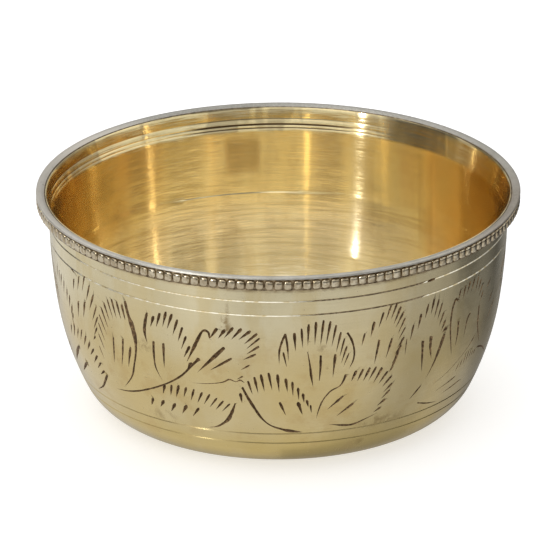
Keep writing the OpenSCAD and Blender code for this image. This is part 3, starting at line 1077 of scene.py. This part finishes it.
def make_land():
    """The flat ring on the lip, filed by hand, with a chamfer at the seam and a recess above the beads."""
    arc_r, arc_z = RIM_R - LAND_ROUND, RIM_Z - LAND_ROUND
    turns = [pi / 2 * i / 5 for i in range(6)]
    arc = [(arc_r + LAND_ROUND * sin(t), arc_z + LAND_ROUND * cos(t)) for t in turns]
    chamfer = [(SPIGOT_R, SEAT_Z), (SPIGOT_R, SEAM_Z), (SPIGOT_R + 0.06, RIM_Z - 0.48),
               (SPIGOT_R + 0.2, RIM_Z - 0.38), (SPIGOT_R + 0.65, RIM_Z - 0.06), (SPIGOT_R + 0.8, RIM_Z)]
    recess = [(RIM_R - 0.02, RIM_Z - 0.52), (RIM_R - 0.14, RIM_Z - 0.6), (RIM_R - 0.75, SEAT_Z + 0.12),
              (RIM_R - 0.85, SEAT_Z), (SPIGOT_R, SEAT_Z)]

    def filed(a, r, z):
        if z < arc_z:
            return 0.0, 0.0
        wave = noise.noise(Vector((9 * sin(a), 9 * cos(a), 0.3 * r)))
        edge = noise.noise(Vector((22 * sin(a), 22 * cos(a), 4.0)))
        return (-0.05 * abs(edge) if r > RIM_R - 0.4 else 0.05 * edge), -0.035 * abs(wave)

    points, faces = turned(chamfer + arc + recess, 360, 0.0, filed)
    land = new_object("filed_land", points, faces, (make_land_brass(), recess_residue_and_shade()))
    # Faces below the land's top get the recess material: residue and painted shade.
    for polygon in land.data.polygons:
        polygon.material_index = int(polygon.center.z / MM < RIM_Z - 0.5)
    weld(land.data)
    marked_sharp(land.data, radians(40))
    return land


shell = make_shell()
beads = make_beads()
land = make_land()
for piece, node, slot in (
    (shell, "bowl_shell", "polished_brass"),
    (beads, "bead_wire", "beaded_brass"),
    (land, "land_ring", "filed_brass"),
):
    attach(piece, "root")
    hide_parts(node)


# --- Studio ---

FLOOR_GLOW = 0.84  # what the polished wall mirrors of the ground round the bowl
FLOOR_HALF = 3000
FLOOR_EMISSION = 0.58


def make_floor():
    """A plain pale floor."""
    corners = [(x * FLOOR_HALF, y * FLOOR_HALF, 0) for x, y in ((-1, -1), (1, -1), (1, 1), (-1, 1))]
    floor = new_object("floor", corners, [(0, 1, 2, 3)])
    n = Nodes("pale_floor")
    floor.data.materials.append(n.finish((0.72, 0.72, 0.72), 0.9, 0))
    n.fill(n.shader, Specular_IOR_Level=0, Emission_Color=(1, 1, 1), Emission_Strength=FLOOR_EMISSION)
    floor.visible_glossy = False


def make_sky():
    """A soft studio for the brass to mirror: pale all round, brightest overhead, with darker shades in it.

    A shade is a window of azimuth, in radians from the camera's side, and of the sine of elevation. The
    part below the horizon stands for the ground, because the floor itself is left out of reflections.
    """
    world = bpy.data.worlds.new("studio")
    SCENE.world = world
    world.use_nodes = True
    tree = world.node_tree
    direction = tree.nodes.new("ShaderNodeTexCoord").outputs["Generated"]
    n = Graph(tree, direction)
    sky = n.remap(n.z, 0, 0.8, 0.62, 1.15)
    level = n.math("ADD", n.product(n.remap(n.z, -0.12, 0.04), n.less(sky, FLOOR_GLOW)), FLOOR_GLOW)
    behind = n.product(n.remap(n.y, 0.1, 0.7), n.remap(n.x, -0.55, -0.05), n.remap(n.z, 0.75, 0.45))
    right = n.product(n.window(n.azimuth, 1.45, 1.95, 2.5, 2.85), n.window(n.z, -0.62, -0.33, -0.04, 0.08))
    gap = n.product(n.window(n.azimuth, 2.05, 2.15, 2.35, 2.45), 0.35)
    left = n.product(n.window(n.azimuth, -2.75, -2.3, -1.1, -0.95), n.window(n.z, -0.12, 0, 0.35, 0.6))
    bright_slit = n.product(n.window(n.azimuth, -2, -1.94, -1.78, -1.72), n.remap(n.z, -0.1, 0))
    overhead = n.product(n.window(n.azimuth, 0.05, 0.3, 1.15, 1.35), n.window(n.z, 0.4, 0.55, 0.9, 0.97))
    low_right = n.product(n.remap(n.azimuth, 0.6, 1.6), n.remap(n.z, 0.05, -0.1))
    lifted = n.product(n.remap(n.azimuth, 1.7, 2), n.window(n.z, -0.84, -0.72, -0.6, -0.48), 0.85)
    ahead = n.product(n.window(n.azimuth, -0.6, -0.25, 2, 2.4), n.window(n.z, -0.28, -0.16, 0.02, 0.12))
    for shade, strength in (
        (n.product(low_right, n.less(1, lifted)), 0.4),
        (behind, 0.4),
        (n.less(right, gap, True), 0.82),
        (n.less(left, bright_slit, True), 0.8),
        (overhead, 0.8),
        (ahead, 0.85),
    ):
        level = n.product(level, n.less(1, n.product(shade, strength)))
    level = n.product(level, n.remap(n.noise(direction, 2.2), 0.3, 0.7, 0.93, 1.07))
    seen = tree.nodes.new("ShaderNodeLightPath").outputs["Is Camera Ray"]
    n.fill(tree.nodes["Background"], Color=n.mix(seen, n.combine(level, level, level), (1, 1, 1)))


KEY_AZIMUTH, KEY_ELEVATION = radians(-43.5), radians(20)
KEY_STRENGTH, KEY_SIZE = 0.9, radians(1)


def make_key(pieces):
    """One small bright lamp, low at the front left, that lights only the bowl."""
    lamp = bpy.data.lights.new("key", "SUN")
    lamp.energy, lamp.angle = KEY_STRENGTH, KEY_SIZE
    key = bpy.data.objects.new("key", lamp)
    towards = Vector(around(cos(KEY_ELEVATION), KEY_AZIMUTH, sin(KEY_ELEVATION)))
    key.rotation_euler = towards.to_track_quat("Z", "Y").to_euler()
    SCENE.collection.objects.link(key)
    lit = bpy.data.collections.new("lit_by_key")
    for piece in pieces:
        lit.objects.link(piece)
    key.light_linking.receiver_collection = lit


CAMERA_DISTANCE, CAMERA_ELEVATION, CAMERA_ROLL = 1500, radians(21.31), radians(-0.23)
CAMERA_LENS = 389.3
AIM_X, AIM_DROP = 0.37, 24.95


def make_camera():
    """A long lens in front of the bowl, looking down at its rim."""
    rise = CAMERA_DISTANCE * sin(CAMERA_ELEVATION)
    place = Vector((0, -CAMERA_DISTANCE * cos(CAMERA_ELEVATION), RIM_Z + rise))
    target = Vector((AIM_X, 0, RIM_Z - AIM_DROP))
    forward = (target - place).normalized()
    right = forward.cross(Vector((0, 0, 1))).normalized()
    up = right.cross(forward)
    turn, tip = cos(CAMERA_ROLL), sin(CAMERA_ROLL)
    right, up = (right * turn + up * tip, up * turn - right * tip)
    camera = bpy.data.cameras.new("camera")
    camera.lens = CAMERA_LENS
    camera.clip_end = 50
    obj = bpy.data.objects.new("camera", camera)
    obj.matrix_world = Matrix.Translation(place * MM) @ Matrix((right, up, -forward)).transposed().to_4x4()
    SCENE.collection.objects.link(obj)
    SCENE.camera = obj


make_floor()
make_sky()
make_key((shell, beads, land))
make_camera()
SCENE.view_settings.view_transform = "Standard"
SCENE.cycles.glossy_bounces = 10
